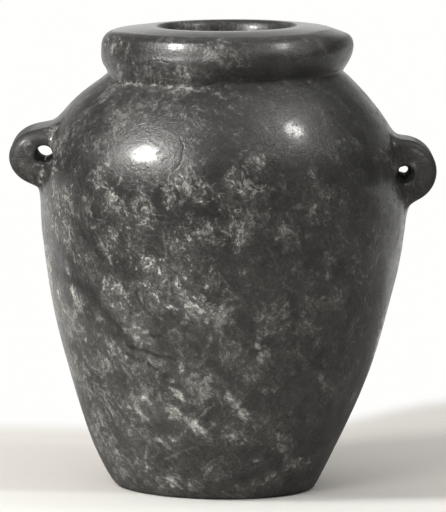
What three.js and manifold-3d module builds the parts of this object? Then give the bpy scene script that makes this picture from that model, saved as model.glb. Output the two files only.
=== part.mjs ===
// Stone jar with a heavy collar rim and two pierced lug handles.
// Millimetres, +Z up, standing on z = 0, the jar's axis on Z and the lugs out along X.
import * as THREE from 'three';
import { mergeVertices } from 'three/addons/utils/BufferGeometryUtils.js';
import Module from 'manifold-3d';

const wasm = await Module();
wasm.setup();

// Body
const footRadius = 36.4; // flat ring that the jar stands on
const heelRadius = 5; // rounded heel between the foot and the wall
const heelTurn = 60.8; // degrees that the heel turns through
const bellyRadius = 71.6;
const bellyHeight = 116;
const seatHeight = 161.9; // crease under the collar, on the jar's axis
const neckRadius = 46.2; // outside of the jar at that crease
const shoulderRise = 49.3; // degrees between the shoulder and upright, at the crease
const wallThickness = 14;
const floorThickness = 21;
const throatDepth = 9; // straight stretch of the mouth that lies in the body

// Collar
const mouthRadius = 27.2;
const collarRadius = 48.6;
const collarHeight = 18.1;
const collarWaistHeight = 9.2; // where the collar reaches its full width
const collarTopFall = 6.5; // degrees that the top falls away outside its flat land
const collarFootRounding = 0.9;
const lipRounding = 1.3;
const landWidth = 3; // flat ring round the mouth
const collarShift = 0.9; // the collar sits this far off the jar's axis, towards +X
const rimLean = 1.4; // degrees, the +X side stands higher

// Lugs
const lugReach = 13.4; // from the middle of a lug out to its tip
const lugHalfHeight = 10.7;
const lugMiddleInset = 2.3; // the middle of a lug lies this far inside the belly's radius
const leftLugDrop = 33.9; // middle of each lug below the crease
const rightLugDrop = 36.7;
const lugLength = 36;
const lugEdgeRounding = 2.2;
const lugTopFillet = 6;
const lugBottomFillet = 4.5;
const boreMouthRadius = 3.7;
const leftBoreRadius = 3.1; // at the narrow middle of each bore
const rightBoreRadius = 1.8;
const leftBoreRise = 2.1; // height of the bore above the middle of its lug
const rightBoreRise = -0.2;
const leftBoreOut = -0.3; // how far out the bore lies from the middle of its lug
const rightBoreOut = 0.9;
const tenonDepth = 5.8; // flat back of a lug, inwards from its middle
const tenonHalfHeight = 8.5;

// Fits and mesh counts
const gap = 0.3; // clearance round a joined piece
const saddleGap = 0.42; // clearance between a lug's skirt and the wall, measured level
const weldShare = 1e-5; // vertices nearer than this share of the belly are one vertex
const turnSteps = 60;
const wallSteps = 12;
const shoulderSteps = 9;
const hollowSteps = 7;
const heelSteps = 4;
const collarSteps = 4;
const roundingSteps = 3;
const boreTurnSteps = 16;
const boreSteps = 4;
const sectionSteps = 11;

const radians = THREE.MathUtils.degToRad;
const lean = radians(rimLean);
const lugMiddleOut = bellyRadius - lugMiddleInset;

// Material of one piece, in the photograph's dark mottled stone
function stone(color, roughness) {
  return new THREE.MeshStandardMaterial({ color, roughness, metalness: 0 });
}

// Closed solid from a closed geometry
function solidOf(geometry) {
  geometry.deleteAttribute('normal');
  geometry.deleteAttribute('uv');
  const welded = mergeVertices(geometry, bellyRadius * weldShare);
  const corners = welded.index.array;
  const kept = [];
  for (let i = 0; i < corners.length; i += 3) {
    const [a, b, c] = [corners[i], corners[i + 1], corners[i + 2]];
    if (a !== b && b !== c && c !== a) kept.push(a, b, c);
  }
  return new wasm.Manifold(new wasm.Mesh({
    numProp: 3,
    vertProperties: new Float32Array(welded.attributes.position.array),
    triVerts: new Uint32Array(kept),
  }));
}

// Named mesh from a closed solid
function meshOf(solid, name, material) {
  const { vertProperties, triVerts } = solid.getMesh();
  const geometry = new THREE.BufferGeometry();
  geometry.setAttribute('position', new THREE.BufferAttribute(vertProperties, 3));
  geometry.setIndex(new THREE.BufferAttribute(triVerts, 1));
  geometry.computeVertexNormals();
  const mesh = new THREE.Mesh(geometry, material);
  mesh.name = name;
  return mesh;
}

// The top of the jar leans a little: nothing below the belly, all of it at the crease
function leanLift(x, z) {
  const share = THREE.MathUtils.smoothstep(z, bellyHeight, seatHeight);
  return share * x * Math.tan(lean);
}

// Turned form about Z from a profile of (radius, height) points, with the jar's lean
function turned(points) {
  const geometry = new THREE.LatheGeometry(points, turnSteps);
  geometry.rotateX(radians(90));
  const places = geometry.attributes.position;
  for (let i = 0; i < places.count; i += 1) {
    const [x, z] = [places.getX(i), places.getZ(i)];
    places.setZ(i, z + leanLift(x, z));
  }
  return solidOf(geometry);
}

// Outside of the body from the foot to the crease, moved out by a clearance
function wallPoints(clearance = 0) {
  const turn = radians(heelTurn);
  const heelEnd = new THREE.Vector2(
    footRadius + heelRadius * Math.sin(turn),
    heelRadius * (1 - Math.cos(turn)),
  );
  const wallStart = new THREE.Vector2(Math.cos(turn), Math.sin(turn));
  const belly = new THREE.Vector2(bellyRadius, bellyHeight);
  const crease = new THREE.Vector2(neckRadius, seatHeight);
  const rise = radians(shoulderRise);
  const shoulderEnd = new THREE.Vector2(Math.sin(rise), -Math.cos(rise));
  const wallPullShare = 0.425; // reach of each curve handle, as a share of its stretch's height
  const bellyPullShare = 0.094;
  const bellyLiftShare = 0.131;
  const shoulderPullShare = 0.824;
  const wallHeight = belly.y - heelEnd.y;
  const shoulderHeight = crease.y - belly.y;

  const heel = new THREE.EllipseCurve(
    footRadius, heelRadius, heelRadius, heelRadius, radians(-90), turn - radians(90),
  );
  const wall = new THREE.CubicBezierCurve(
    heelEnd,
    heelEnd.clone().addScaledVector(wallStart, wallHeight * wallPullShare),
    new THREE.Vector2(belly.x, belly.y - wallHeight * bellyPullShare),
    belly,
  );
  const shoulder = new THREE.CubicBezierCurve(
    belly,
    new THREE.Vector2(belly.x, belly.y + shoulderHeight * bellyLiftShare),
    crease.clone().addScaledVector(shoulderEnd, shoulderHeight * shoulderPullShare),
    crease,
  );
  const points = [
    ...heel.getPoints(heelSteps),
    ...wall.getPoints(wallSteps).slice(1),
    ...shoulder.getPoints(shoulderSteps).slice(1),
  ];
  return points.map((point) => new THREE.Vector2(point.x + clearance, point.y));
}

// Hollow of the body, from the mouth down to the middle of the floor
function hollowPoints() {
  const throatFoot = seatHeight - throatDepth;
  const hollowRadius = bellyRadius - wallThickness;
  const hollowHeight = bellyHeight - wallThickness / 2;
  const floorRadius = footRadius - wallThickness;
  const underShoulderShare = 0.75; // how far out the hollow runs just under the shoulder
  const tuckShare = 0.3; // handle of the hollow's widest point, as a share of its height
  const floorRiseShare = 0.35; // handle at the floor, as a share of the same height
  const drop = hollowHeight - floorThickness;

  const shoulder = new THREE.CubicBezierCurve(
    new THREE.Vector2(mouthRadius, throatFoot),
    new THREE.Vector2(
      mouthRadius + (hollowRadius - mouthRadius) * underShoulderShare,
      throatFoot - throatDepth,
    ),
    new THREE.Vector2(hollowRadius, hollowHeight + (throatFoot - hollowHeight) * tuckShare),
    new THREE.Vector2(hollowRadius, hollowHeight),
  );
  const wall = new THREE.CubicBezierCurve(
    new THREE.Vector2(hollowRadius, hollowHeight),
    new THREE.Vector2(hollowRadius, hollowHeight - drop * tuckShare),
    new THREE.Vector2(footRadius, floorThickness + drop * floorRiseShare),
    new THREE.Vector2(floorRadius, floorThickness),
  );
  return [
    new THREE.Vector2(mouthRadius, seatHeight),
    ...shoulder.getPoints(hollowSteps),
    ...wall.getPoints(hollowSteps).slice(1),
    new THREE.Vector2(0, floorThickness),
  ];
}

// Drilled bore along Y, narrow in the middle because it was worked from both ends
function boreCutter(outward, height, waistRadius) {
  const reach = lugLength; // each end runs clear of the bulging wall
  const flare = boreMouthRadius - waistRadius;
  const half = lugLength / 2;
  const points = [new THREE.Vector2(0, -reach)];
  points.push(new THREE.Vector2(boreMouthRadius + flare, -reach));
  for (let i = -boreSteps; i <= boreSteps; i += 1) {
    const share = i / boreSteps;
    points.push(new THREE.Vector2(waistRadius + flare * share * share, half * share));
  }
  points.push(new THREE.Vector2(boreMouthRadius + flare, reach));
  points.push(new THREE.Vector2(0, reach));
  const geometry = new THREE.LatheGeometry(points, boreTurnSteps);
  geometry.translate(outward, 0, height);
  return solidOf(geometry);
}

// Bar along Y with a section drawn in X and Z
function barAlongY(shape, length, rounding, place) {
  const geometry = new THREE.ExtrudeGeometry(shape, {
    depth: length - rounding - rounding,
    curveSegments: sectionSteps,
    bevelEnabled: rounding > 0,
    bevelThickness: rounding,
    bevelSize: rounding,
    bevelOffset: -rounding,
    bevelSegments: roundingSteps,
  });
  geometry.translate(0, 0, rounding - length / 2);
  geometry.rotateX(radians(90));
  geometry.translate(place.x, 0, place.z);
  return solidOf(geometry);
}

// Rectangle in X and Z about a lug's middle, from the flat back outwards
function tenonShape(side, outer, halfHeight) {
  const back = -side * tenonDepth;
  const shape = new THREE.Shape();
  shape.moveTo(back, -halfHeight);
  shape.lineTo(side * outer, -halfHeight);
  shape.lineTo(side * outer, halfHeight);
  shape.lineTo(back, halfHeight);
  shape.closePath();
  return shape;
}

// Section of a lug: an oval that runs into the wall through a fillet above and below
function lugShape(side) {
  const back = -side * (tenonDepth + lugReach); // well inside the wall, which is cut away
  const bottomLeave = radians(-74); // where the lower fillet leaves the oval
  const bottom = new THREE.Vector2(
    lugReach * Math.cos(bottomLeave), lugHalfHeight * Math.sin(bottomLeave),
  );
  const fillTurnShare = 0.4; // where a fillet turns, as a share of its reach
  const topRiseShare = 0.85; // height of the upper fillet, as a share of its reach
  const shape = new THREE.Shape();
  shape.moveTo(side * bottom.x, bottom.y);
  if (side > 0) {
    shape.absellipse(0, 0, lugReach, lugHalfHeight, bottomLeave, Math.PI / 2, false);
  } else {
    shape.absellipse(0, 0, lugReach, lugHalfHeight, Math.PI - bottomLeave, Math.PI / 2, true);
  }
  shape.quadraticCurveTo(
    -side * lugTopFillet * fillTurnShare, lugHalfHeight,
    -side * lugTopFillet, lugHalfHeight + lugTopFillet * topRiseShare,
  );
  shape.lineTo(back, lugHalfHeight + lugTopFillet * topRiseShare);
  shape.lineTo(back, bottom.y - lugBottomFillet);
  shape.lineTo(side * (bottom.x - lugBottomFillet), bottom.y - lugBottomFillet);
  shape.quadraticCurveTo(
    side * (bottom.x - lugBottomFillet * (1 - fillTurnShare)),
    bottom.y - lugBottomFillet * fillTurnShare,
    side * bottom.x, bottom.y,
  );
  return shape;
}

// Pocket that a lug's tenon seats in
function lugPocket(side, height) {
  const shape = tenonShape(side, lugReach, tenonHalfHeight + gap);
  return barAlongY(shape, lugLength + gap + gap, 0, { x: side * lugMiddleOut, z: height });
}

// Bore of one lug, which also grazes the wall on both sides of it
function lugBore({ side, height, boreOut, boreRise, boreRadius }) {
  return boreCutter(side * (lugMiddleOut + boreOut), height + boreRise, boreRadius);
}

// One lug with its tenon, saddled on the wall and pierced
function lug(handle) {
  const { side, height, name, color } = handle;
  const place = { x: side * lugMiddleOut, z: height };
  const bar = barAlongY(lugShape(side), lugLength, lugEdgeRounding, place);
  const wall = turned([
    new THREE.Vector2(0, 0),
    ...wallPoints(saddleGap),
    new THREE.Vector2(0, seatHeight),
  ]);
  const tenon = barAlongY(tenonShape(side, lugHalfHeight, tenonHalfHeight), lugLength, 0, place)
    .intersect(barAlongY(lugShape(side), lugLength, 0, place));
  const solid = bar.subtract(wall).add(tenon).subtract(lugBore(handle));
  return meshOf(solid, name, stone(color, 0.34));
}

// Hollow body, open at the mouth
function body(handles) {
  const shell = turned([new THREE.Vector2(0, 0), ...wallPoints(), ...hollowPoints()]);
  const solid = handles.reduce((whole, handle) => whole
    .subtract(lugPocket(handle.side, handle.height))
    .subtract(lugBore(handle)), shell);
  return meshOf(solid, 'jar_body', stone(0x4e4d4a, 0.32));
}

// Thick collar with a rounded lip, drawn upright on its own seat
function collar() {
  const lipCentre = new THREE.Vector2(mouthRadius + lipRounding, collarHeight - lipRounding);
  const landEdge = new THREE.Vector2(lipCentre.x + landWidth, collarHeight);
  const fall = radians(collarTopFall);
  const topWidth = collarRadius - landEdge.x;
  const topPullShare = 0.55; // reach of each curve handle, as a share of its own stretch
  const cornerPullShare = 0.85;
  const tuckShare = 0.62; // how far down the side keeps its full width
  const foot = new THREE.QuadraticBezierCurve(
    new THREE.Vector2(neckRadius - collarFootRounding, 0),
    new THREE.Vector2(neckRadius, 0),
    new THREE.Vector2(neckRadius, collarFootRounding),
  );
  const flank = new THREE.QuadraticBezierCurve(
    new THREE.Vector2(neckRadius, collarFootRounding),
    new THREE.Vector2(collarRadius, collarWaistHeight * (1 - tuckShare)),
    new THREE.Vector2(collarRadius, collarWaistHeight),
  );
  const top = new THREE.CubicBezierCurve(
    new THREE.Vector2(collarRadius, collarWaistHeight),
    new THREE.Vector2(
      collarRadius,
      collarWaistHeight + (collarHeight - collarWaistHeight) * cornerPullShare,
    ),
    new THREE.Vector2(
      landEdge.x + topWidth * topPullShare,
      collarHeight - topWidth * topPullShare * Math.tan(fall),
    ),
    landEdge,
  );
  const lip = new THREE.EllipseCurve(
    lipCentre.x, lipCentre.y, lipRounding, lipRounding, radians(90), radians(180),
  );
  const points = [
    new THREE.Vector2(mouthRadius, 0),
    ...foot.getPoints(roundingSteps),
    ...flank.getPoints(collarSteps).slice(1),
    ...top.getPoints(collarSteps + collarSteps).slice(1),
    ...lip.getPoints(roundingSteps),
    new THREE.Vector2(mouthRadius, 0),
  ];
  const geometry = new THREE.LatheGeometry(points, turnSteps);
  geometry.rotateX(radians(90));
  return meshOf(solidOf(geometry), 'rim_collar', stone(0x52514e, 0.32));
}

const leftHandle = {
  side: -1,
  name: 'left_lug',
  color: 0x575552,
  height: seatHeight - leftLugDrop,
  boreOut: leftBoreOut,
  boreRise: leftBoreRise,
  boreRadius: leftBoreRadius,
};
const rightHandle = {
  side: 1,
  name: 'right_lug',
  color: 0x4a4947,
  height: seatHeight - rightLugDrop,
  boreOut: rightBoreOut,
  boreRise: rightBoreRise,
  boreRadius: rightBoreRadius,
};

const jar = new THREE.Group();
jar.name = 'stone_jar';

const collarSeat = new THREE.Group();
collarSeat.position.set(collarShift, 0, seatHeight + gap);
collarSeat.rotation.y = -lean;
collarSeat.add(collar());

jar.add(body([leftHandle, rightHandle]), collarSeat, lug(leftHandle), lug(rightHandle));

export default jar;
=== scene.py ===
import math

import bpy
import numpy as np
from mathutils import Matrix, Vector
from mathutils.bvhtree import BVHTree


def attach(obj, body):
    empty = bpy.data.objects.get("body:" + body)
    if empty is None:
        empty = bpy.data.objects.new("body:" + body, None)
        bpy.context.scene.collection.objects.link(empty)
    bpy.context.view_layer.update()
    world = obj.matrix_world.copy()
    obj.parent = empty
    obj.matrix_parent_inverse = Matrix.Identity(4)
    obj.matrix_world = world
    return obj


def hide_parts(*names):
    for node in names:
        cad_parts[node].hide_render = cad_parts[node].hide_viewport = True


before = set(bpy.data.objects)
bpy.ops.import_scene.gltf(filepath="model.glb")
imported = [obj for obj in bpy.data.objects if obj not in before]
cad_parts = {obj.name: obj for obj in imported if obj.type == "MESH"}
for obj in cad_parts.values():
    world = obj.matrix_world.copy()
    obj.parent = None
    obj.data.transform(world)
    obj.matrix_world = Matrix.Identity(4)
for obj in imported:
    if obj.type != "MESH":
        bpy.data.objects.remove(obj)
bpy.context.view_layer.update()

mm = 0.001  # shapes below are worked out in millimetres and laid down in metres


# Camera
view = {
    "place": (2.88, -2240, 358.6),  # mm from the middle of the foot
    "pitchDown": 6.8415,  # degrees
    "yaw": -0.0556,
    "roll": 1.0511,
    "focal": 5792.45,  # pixels, in a frame 446 wide and 512 high
    "frameWide": 446,
    "frameHigh": 512,
    "sensor": 36,  # mm
    "sees": (0.05, 40),  # m, the nearest and the farthest
}


def viewAxes():
    pitch, yaw, roll = (math.radians(view[k]) for k in ("pitchDown", "yaw", "roll"))
    ahead = np.array([math.sin(yaw) * math.cos(pitch), math.cos(yaw) * math.cos(pitch), -math.sin(pitch)])
    level = np.cross(ahead, (0, 0, 1))
    level /= np.linalg.norm(level)
    upright = np.cross(level, ahead)
    across = math.cos(roll) * level + math.sin(roll) * upright
    upward = -math.sin(roll) * level + math.cos(roll) * upright
    return across, upward, ahead


def sightLine(u, v):
    # the way from the camera through a pixel of the photograph's frame
    across, upward, ahead = viewAxes()
    right = (u - view["frameWide"] / 2) / view["focal"]
    down = (v - view["frameHigh"] / 2) / view["focal"]
    line = ahead + across * right - upward * down
    return line / np.linalg.norm(line)


def makeCamera():
    across, upward, ahead = viewAxes()
    data = bpy.data.cameras.new("photo_camera")
    data.sensor_width = view["sensor"]
    data.lens = view["focal"] * view["sensor"] / view["frameHigh"]
    data.clip_start, data.clip_end = view["sees"]
    camera = bpy.data.objects.new("photo_camera", data)
    turn = Matrix([[across[i], upward[i], -ahead[i]] for i in range(3)]).to_4x4()
    camera.matrix_world = Matrix.Translation(Vector(view["place"]) * mm) @ turn
    bpy.context.collection.objects.link(camera)
    bpy.context.scene.camera = camera


makeCamera()
bpy.context.scene.view_settings.view_transform = "Standard"
print("camera ready")


# Shape helpers
curveSteps = 260
wholeTurn = 6.28  # radians, near enough for a random start


def smoothStep(low, high, value):
    t = np.clip((value - low) / (high - low), 0, 1)
    return t * t * (3 - 2 * t)


def bezier(a, b, c, d):
    t = np.linspace(0, 1, curveSteps)[:, None]
    a, b, c, d = (np.array(p, float) for p in (a, b, c, d))
    return (1 - t) ** 3 * a + 3 * (1 - t) ** 2 * t * b + 3 * (1 - t) * t * t * c + t ** 3 * d


def smoothPath(points, steps):
    # Catmull-Rom curve through given points
    p = np.array(points, float)
    p = np.vstack([2 * p[0] - p[1], p, 2 * p[-1] - p[-2]])
    t = np.linspace(0, 1, steps, endpoint=False)[:, None]
    parts = []
    for i in range(len(p) - 3):
        a, b, c, d = p[i:i + 4]
        bends = (2 * a - 5 * b + 4 * c - d) * t * t + (3 * b - a - 3 * c + d) * t ** 3
        parts.append(0.5 * (2 * b + (c - a) * t + bends))
    return np.vstack(parts + [p[-2:-1]])


def evenPath(path, spacing):
    # the same path, stepped by a spacing that may change along it
    length = np.concatenate([[0], np.cumsum(np.linalg.norm(np.diff(path, axis=0), axis=1))])
    gaps = np.array([spacing(q) for q in (path[1:] + path[:-1]) / 2])
    pace = np.concatenate([[0], np.cumsum(np.diff(length) / gaps)])
    count = max(2, int(round(pace[-1])))
    places = np.interp(np.linspace(0, pace[-1], count + 1), pace, length)
    return np.stack([np.interp(places, length, path[:, i]) for i in range(path.shape[1])], 1)


def waves(seed, count, reachAround, reachUp):
    # for each wave: how many go round, how it turns with height, where it starts and its size
    rng = np.random.default_rng(seed)
    return [(int(rng.integers(1, reachAround)), rng.uniform(-1, 1) * reachUp, rng.uniform(0, wholeTurn),
             rng.uniform(0.4, 1)) for _ in range(count)]


def ripple(parts, turn, height):
    wave = sum(size * np.cos(around * turn + rise * height + start) for around, rise, start, size in parts)
    return wave / sum(part[3] for part in parts)


def makeObject(name, vertices, faces):
    mesh = bpy.data.meshes.new(name)
    mesh.from_pydata((np.asarray(vertices) * mm).tolist(), [], faces)
    mesh.polygons.foreach_set("use_smooth", [True] * len(mesh.polygons))
    mesh.update()
    piece = bpy.data.objects.new(name, mesh)
    bpy.context.collection.objects.link(piece)
    return piece


def gridFaces(rows, columns, closeRows=False):
    r = np.arange(rows if closeRows else rows - 1)[:, None]
    c = np.arange(columns)[None, :]
    up = (r + 1) % rows
    right = (c + 1) % columns
    quads = np.stack([r * columns + c, r * columns + right, up * columns + right, up * columns + c], -1)
    return quads.reshape(-1, 4).tolist()


# Jar body
bodyShape = {
    "footRadius": 36.4,
    "heelRadius": 5,
    "heelTurn": 60.8,  # degrees
    "heelSteps": 24,
    "bellyRadius": 71.6,
    "bellyHeight": 116,
    "seatHeight": 161.9,
    "neckRadius": 46.2,
    "shoulderRise": 49.3,  # degrees from upright, at the crease
    "wallBow": (0.425, 0.094),  # pull of the curve's handles at the heel and at the belly, as shares
    "shoulderBow": (0.131, 0.824),  # the same at the belly and at the crease
    "tuckUnderCollar": 4,  # the shoulder runs on this far inward, under the collar
    "lean": 1.4,  # degrees
    "mouthRadius": 27.2,
    "throatDepth": 9,
    "throatFlare": 0.75,
    "hollowBow": 0.3,
    "floorBow": 0.35,
    "wall": 14,
    "floor": 21,
    "pinhole": 1.5,  # radius of the last ring on the floor and under the foot
    "unevenness": 0.16,
    "evenEnds": ((0, 6), (158, 163)),  # heights between which the unevenness comes and goes
    "flatness": 0.2,  # the belly is this much wider than round, and as much less deep
    "flatEnds": ((30, 80), (118, 135)),
    "toolRings": 0.12,  # depth of the drill's rings in the hollow
    "ringPaces": (2.1, 5.3),  # radians for each mm of height
    "ringsFrom": (22, 30),
    "seatShift": 0.3,
    # height, how far the wall sways to the right there, how much it swells
    "sway": [(0, -0.9, -0.35), (6, -1.35, -0.25), (16, -1.5, -0.25), (26, -1, -0.3), (36, -0.5, -0.1),
             (47, -0.08, 0.06), (56, -0.05, 0.18), (66, -0.06, 0.24), (75, 0.05, 0.26), (85, 0.4, 0.34),
             (94, 0.58, 0.26), (99, 0.5, 0.2), (105, 0.6, 0.02), (110, 0.75, -0.1), (125, 0.45, 0),
             (134, -0.25, 0.05), (141, -0.75, 0.1), (150, -0.9, 0.2), (154, -0.6, 0.05), (157, -0.15, -0.3),
             (159.5, 0.3, -0.6), (162, 0.4, -0.65), (170, 0.4, -0.6)],
    # how the mesh is stepped
    "wallGaps": [(-1, 0.6), (6, 0.92), (121, 0.5), (135, 0.92)],  # from a height on, the rows' gap
    "hollowGaps": [(-1, 3.2), (150, 1.6)],
    "footRings": 6,
    "seatRings": 7,
    "turns": (-205, 155, 7201),  # degrees, and the trial steps between them
    "backFrom": (22, 34),  # degrees, where the columns grow wider apart
    "columnGaps": (0.62, 1.9),  # degrees, in front and at the back
}
bodyWaves = waves(11, 9, 7, 0.09) + waves(12, 8, 16, 0.2)


def outerProfile():
    s = bodyShape
    turn = math.radians(s["heelTurn"])
    rise = math.radians(s["shoulderRise"])
    angles = np.linspace(-math.pi / 2, turn - math.pi / 2, s["heelSteps"])
    heel = np.stack([np.cos(angles), 1 + np.sin(angles)], 1) * s["heelRadius"] + (s["footRadius"], 0)
    wallHigh = s["bellyHeight"] - heel[-1, 1]
    shoulderHigh = s["seatHeight"] - s["bellyHeight"]
    belly = np.array([s["bellyRadius"], s["bellyHeight"]])
    crease = np.array([s["neckRadius"], s["seatHeight"]])
    outward = np.array([math.sin(rise), -math.cos(rise)])
    leaving = np.array([math.cos(turn), math.sin(turn)])
    wall = bezier(heel[-1], heel[-1] + wallHigh * s["wallBow"][0] * leaving,
                  belly - (0, wallHigh * s["wallBow"][1]), belly)
    shoulder = bezier(belly, belly + (0, shoulderHigh * s["shoulderBow"][0]),
                      crease + shoulderHigh * s["shoulderBow"][1] * outward, crease)
    return np.vstack([heel, wall[1:], shoulder[1:], crease - outward * s["tuckUnderCollar"]])


def innerProfile():
    s = bodyShape
    throatFoot = s["seatHeight"] - s["throatDepth"]
    wide = s["bellyRadius"] - s["wall"]
    high = s["bellyHeight"] - s["wall"] / 2
    narrow = s["footRadius"] - s["wall"]
    drop = high - s["floor"]
    flare = s["mouthRadius"] + (wide - s["mouthRadius"]) * s["throatFlare"]
    shoulder = bezier((s["mouthRadius"], throatFoot), (flare, throatFoot - s["throatDepth"]),
                      (wide, high + (throatFoot - high) * s["hollowBow"]), (wide, high))
    wall = bezier((wide, high), (wide, high - drop * s["hollowBow"]),
                  (s["footRadius"], s["floor"] + drop * s["floorBow"]), (narrow, s["floor"]))
    lip = (s["mouthRadius"], s["seatHeight"] + 0.1)
    return np.vstack([lip, shoulder, wall[1:], (s["pinhole"], s["floor"])])


outer = outerProfile()
wallPart = outer[bodyShape["heelSteps"] - 2:]
swayTable = np.array(bodyShape["sway"])


def swayAt(z):
    return [np.interp(z, swayTable[:, 0], swayTable[:, i]) for i in (1, 2)]


def leanLift(x, z):
    s = bodyShape
    return smoothStep(s["bellyHeight"], s["seatHeight"], z) * x * math.tan(math.radians(s["lean"]))


def between(ends, z):
    # comes in over the first pair of heights and goes out over the second
    return smoothStep(*ends[0], z) * (1 - smoothStep(*ends[1], z))


def dent(turn, z):
    s = bodyShape
    flat = s["flatness"] * np.cos(2 * turn) * between(s["flatEnds"], z)
    return between(s["evenEnds"], z) * s["unevenness"] * ripple(bodyWaves, turn, z) + flat


def wallGap(x, y, z):
    # how far a point stands outside the wall, measured square to it
    z0 = z - leanLift(x, z)
    sway, swell = swayAt(z0)
    turn = np.arctan2(y, x - sway)
    radius, above, below = (np.interp(z0 + step, wallPart[:, 1], wallPart[:, 0]) for step in (0, 0.5, -0.5))
    return (np.hypot(x - sway, y) - radius - swell - dent(turn, z0)) / np.sqrt(1 + (above - below) ** 2)


lugShape = {
    "middleOut": 69.3,
    "reach": 13.33,
    "length": 36,
    "endBlend": 3,
    "boreMouth": 3.7,
    "sunk": 0.008,  # the piece's skirt lies this far under the wall
    "skirt": 1.2,
    "depth": 2.6,
    "roughness": 0.1,
    "boreLining": 0.015,
    "seamInset": 1,  # the wall's groove is hidden up to this far inside the lug's ends
    "grooveReach": 30,
    "cell": 0.62,
    "margins": {"side": 15.5, "inward": 6, "end": 6.5, "below": 22, "above": 13},  # room round the lug's form
}
lugs = {
    "left_lug": {"side": -1, "height": 128.6, "halfHeight": 11, "frontRise": 0, "edge": 4.6,
                 "topBlend": 10, "bottomBlend": 7, "boreOut": -0.3, "boreRise": 1.3, "bore": 3.1,
                 "seed": 31},
    "right_lug": {"side": 1, "height": 125.2, "halfHeight": 11.8, "frontRise": 0.7, "edge": 2.8,
                  "topBlend": 6.5, "bottomBlend": 9, "boreOut": 0.9, "boreRise": -0.1, "bore": 1.8,
                  "seed": 47},
}


def boreRadius(lug, y):
    # the bore is narrow in the middle
    share = np.clip(np.abs(y) / (lugShape["length"] / 2), 0, 1)
    return lug["bore"] + (lugShape["boreMouth"] - lug["bore"]) * share * share


def boreGap(lug, x, y, z):
    # below zero inside the bore
    out = x - lug["side"] * (lugShape["middleOut"] + lug["boreOut"])
    return np.hypot(out, z - lug["height"] - lug["boreRise"]) - boreRadius(lug, y)


def grooveWall(x, y, z):
    # pushes the wall in to the far side of each bore, in the open and under the lug
    for lug in lugs.values():
        side = lug["side"]
        middle = side * (lugShape["middleOut"] + lug["boreOut"])
        rise = z - lug["height"] - lug["boreRise"]
        deep = np.sqrt(np.maximum(boreRadius(lug, y) ** 2 - rise ** 2, 0))
        stands = side * (x - middle)
        covered = np.abs(y) < lugShape["length"] / 2 - lugShape["seamInset"]
        near = np.abs(y) < lugShape["grooveReach"]
        cut = (deep > 0) & (stands > -deep) & (covered | (stands < deep)) & near
        x = np.where(cut, middle - side * deep, x)
    return x


def spreadTurns():
    # columns round the jar: fine at the front and at the lugs, wider apart at the back
    s = bodyShape
    fine, wide = s["columnGaps"]
    steps = np.linspace(*s["turns"])[:, None]
    turns = evenPath(steps, lambda q: fine + (wide - fine) * smoothStep(*s["backFrom"], q[0]))
    return np.radians(turns[:-1, 0])


def ringPoints(kind, radius, height, turn):
    # one ring of the body: under the foot, on the wall, on the collar's seat or in the hollow
    s = bodyShape
    z = np.full_like(turn, height)
    shift = s["seatShift"] if kind == "seat" else 0
    if kind == "foot":
        shift = swayAt(height)[0]
    elif kind == "wall":
        shift, swell = swayAt(height)
        radius = radius + (swell if height > 1 else 0) + dent(turn, z)
    elif kind == "hollow":
        slow, fast = s["ringPaces"]
        rings = np.sin(height * slow) + 0.5 * np.sin(height * fast + 1)
        radius = radius + s["toolRings"] * rings * smoothStep(*s["ringsFrom"], height)
    x, y = radius * np.cos(turn) + shift, radius * np.sin(turn)
    if kind != "foot":
        z = z + leanLift(x, z)
    return np.stack([grooveWall(x, y, z) if kind == "wall" else x, y, z], 1)


def buildBody():
    s = bodyShape
    turn = spreadTurns()
    outside, inside = (evenPath(path, lambda q: [gap for start, gap in gaps if q[1] > start][-1])
                       for path, gaps in ((outer, s["wallGaps"]), (innerProfile(), s["hollowGaps"])))
    under = [(radius, 0) for radius in np.linspace(s["pinhole"], s["footRadius"], s["footRings"])[:-1]]
    seat = np.linspace(outside[-1], inside[0], s["seatRings"])[1:-1]
    rings = {"foot": under, "wall": outside, "seat": seat, "hollow": inside}
    rows = [ringPoints(kind, *p, turn) for kind, path in rings.items() for p in path]
    columns = len(turn)
    points = np.vstack(rows + [[[swayAt(0)[0], 0, 0]], [[0, 0, s["floor"]]]])
    faces = gridFaces(len(rows), columns)
    last = (len(rows) - 1) * columns
    footMiddle, floorMiddle = len(points) - 2, len(points) - 1
    for c in range(columns):
        right = (c + 1) % columns
        faces.append([footMiddle, right, c])
        faces.append([last + c, last + right, floorMiddle])
    return makeObject("body_stone_form", points, faces)


body = buildBody()
print("body", len(body.data.polygons), "faces")


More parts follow.
